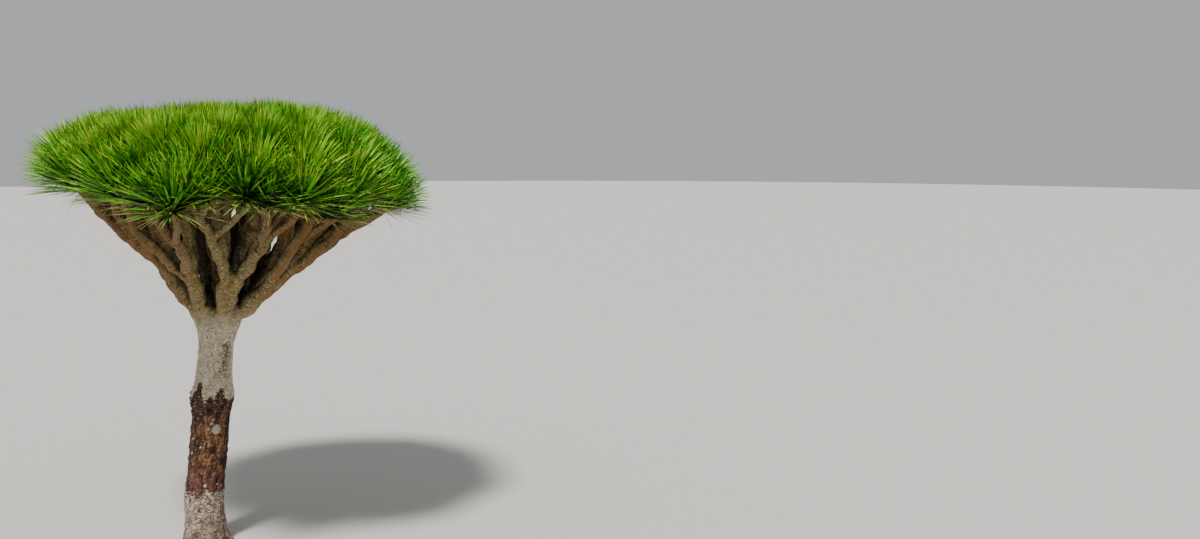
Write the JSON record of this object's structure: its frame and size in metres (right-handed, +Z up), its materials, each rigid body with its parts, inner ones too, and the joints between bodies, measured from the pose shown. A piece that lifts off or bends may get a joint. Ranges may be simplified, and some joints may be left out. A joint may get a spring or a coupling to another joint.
{
  "type": "dragon blood tree",
  "caption": "Whole dragon blood tree: a leaning trunk parts at its top into forking boughs, which spread like an upturned umbrella under a dense shallow dome of sword-shaped leaves.",
  "frame": {"origin": "middle of the flat cut under the trunk, at ground level", "axes": "+Z up, +X the way the trunk leans, which is to the right as the picture sees it, and +Y away from the picture's side of the tree"},
  "size_m": [4.2312, 4.2464, 5.0443],
  "materials": {
    "bark": "rough, grey-beige, with a wide band of dark red-brown scars round the lower trunk",
    "young_bark": "matt olive-brown, ringed with old leaf scars",
    "foliage": "satin green leaves, paler and yellower at their tips"
  },
  "bodies": {
    "root": {"trunk": "bark", "bough_inner_1": "bark", "limb_inner_1a": "young_bark", "limb_inner_1b": "young_bark", "leaves_inner_1a": "foliage", "leaves_inner_1b": "foliage", "bough_inner_2": "bark", "limb_inner_2a": "young_bark", "limb_inner_2b": "young_bark", "leaves_inner_2a": "foliage", "leaves_inner_2b": "foliage", "bough_inner_3": "bark", "limb_inner_3a": "young_bark", "limb_inner_3b": "young_bark", "leaves_inner_3a": "foliage", "leaves_inner_3b": "foliage", "bough_outer_1": "bark", "limb_outer_1a": "young_bark", "limb_outer_1b": "young_bark", "leaves_outer_1a": "foliage", "leaves_outer_1b": "foliage", "bough_outer_2": "bark", "limb_outer_2a": "young_bark", "limb_outer_2b": "young_bark", "leaves_outer_2a": "foliage", "leaves_outer_2b": "foliage", "bough_outer_3": "bark", "limb_outer_3a": "young_bark", "limb_outer_3b": "young_bark", "leaves_outer_3a": "foliage", "leaves_outer_3b": "foliage", "bough_outer_4": "bark", "limb_outer_4a": "young_bark", "limb_outer_4b": "young_bark", "leaves_outer_4a": "foliage", "leaves_outer_4b": "foliage", "bough_outer_5": "bark", "limb_outer_5a": "young_bark", "limb_outer_5b": "young_bark", "leaves_outer_5a": "foliage", "leaves_outer_5b": "foliage", "bough_outer_6": "bark", "limb_outer_6a": "young_bark", "limb_outer_6b": "young_bark", "leaves_outer_6a": "foliage", "leaves_outer_6b": "foliage", "bough_outer_7": "bark", "limb_outer_7a": "young_bark", "limb_outer_7b": "young_bark", "leaves_outer_7a": "foliage", "leaves_outer_7b": "foliage", "bough_outer_8": "bark", "limb_outer_8a": "young_bark", "limb_outer_8b": "young_bark", "leaves_outer_8a": "foliage", "leaves_outer_8b": "foliage"}
  },
  "joints": []
}
